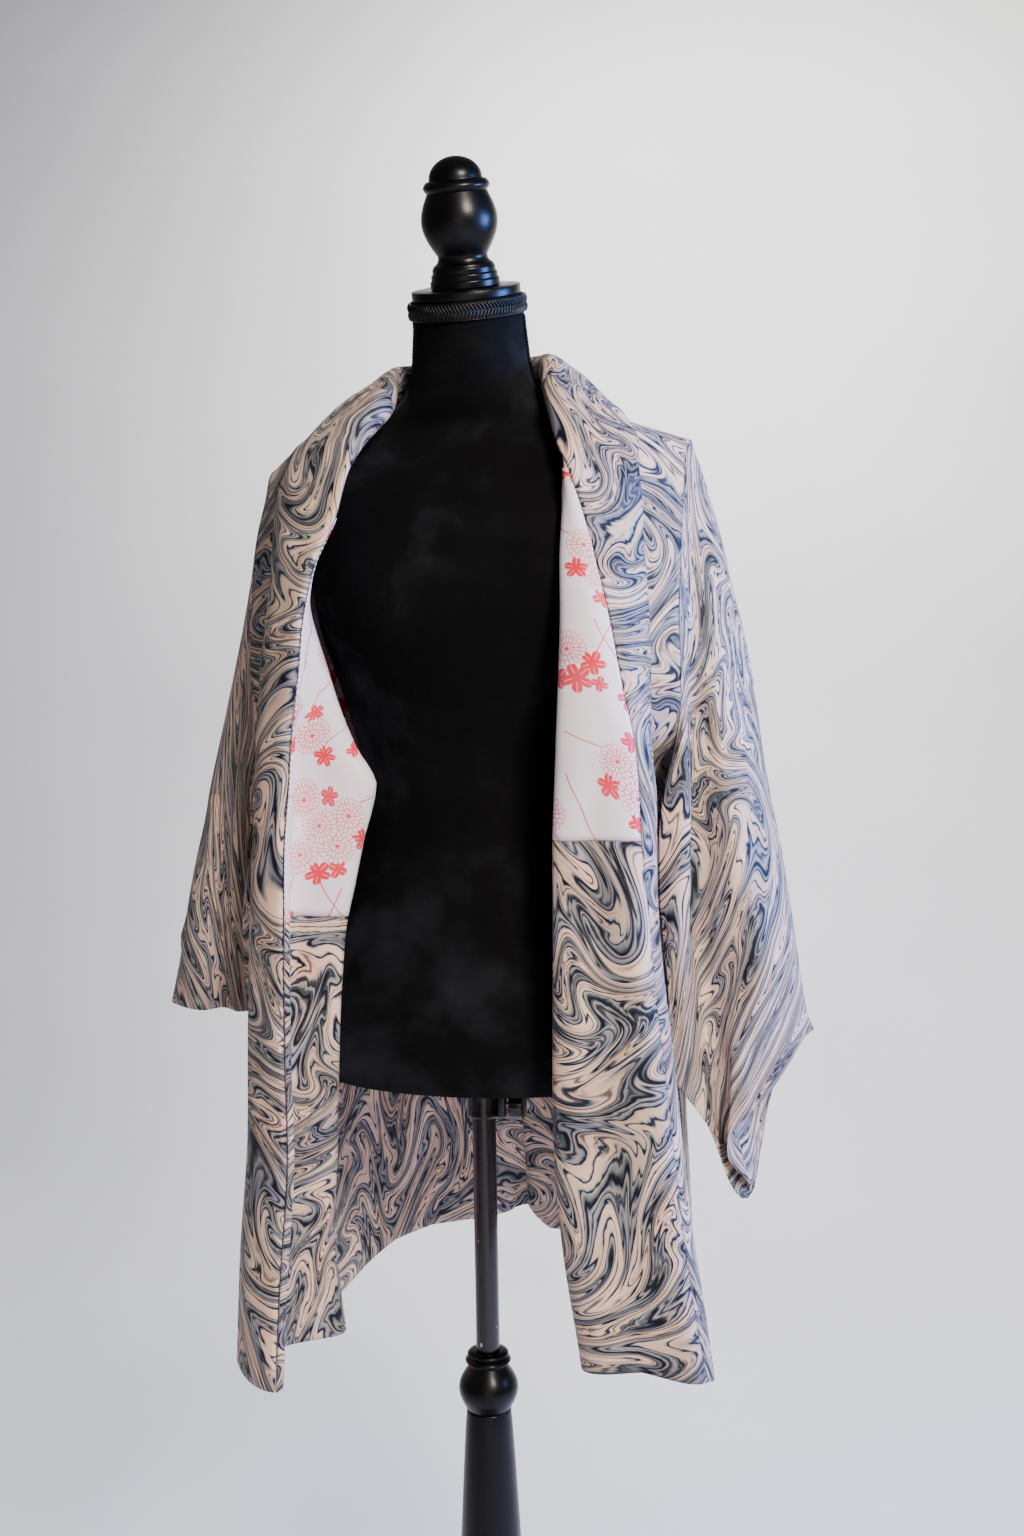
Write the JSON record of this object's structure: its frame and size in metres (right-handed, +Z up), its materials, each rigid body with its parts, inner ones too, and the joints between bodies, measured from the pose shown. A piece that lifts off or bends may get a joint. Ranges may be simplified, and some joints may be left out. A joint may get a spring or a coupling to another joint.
{
  "type": "haori jacket on a limbless dress form with stand",
  "caption": "Open haori jacket with wide straight sleeves, resting on a limbless black dress form that slides on a turned stand.",
  "frame": {"origin": "on the floor, on the axis of the pole, at the centre of the base's flat underside", "axes": "+Z up along the pole, -Y the way the form faces, +X the wearer's left"},
  "size_m": [0.5952, 0.3876, 1.6295],
  "materials": {
    "marbled": "smooth silk with a marbled pattern",
    "lining": "white figured silk with coral flowers",
    "velvet": "black velvet",
    "braid": "black braid",
    "lacquer": "satin black lacquer",
    "painted_metal": "black"
  },
  "bodies": {
    "stand": {"base": "lacquer", "column": "lacquer", "ball": "lacquer", "pole": "painted_metal"},
    "form": {"torso": "velvet", "neck_braid": "braid", "side_braid_left": "braid", "side_braid_right": "braid", "neck_cap": "lacquer", "finial": "lacquer", "clamp": "painted_metal", "clamp_bracket": "painted_metal", "thumb_screw": "painted_metal", "body_left": "marbled", "body_right": "marbled", "gusset_left": "marbled", "gusset_right": "marbled", "sleeve_left": "marbled", "sleeve_right": "marbled", "collar_left": "marbled", "collar_neck": "marbled", "collar_right": "marbled", "lining_front_left": "lining", "lining_front_right": "lining", "facing_front_left": "marbled", "facing_front_right": "marbled", "facing_back_left": "marbled", "facing_back_right": "marbled"}
  },
  "joints": [
    {"name": "form_height", "type": "slide", "parent": "stand", "child": "form", "axis": [0, 0, 1], "range_m": [-0.2, 0.08]}
  ]
}
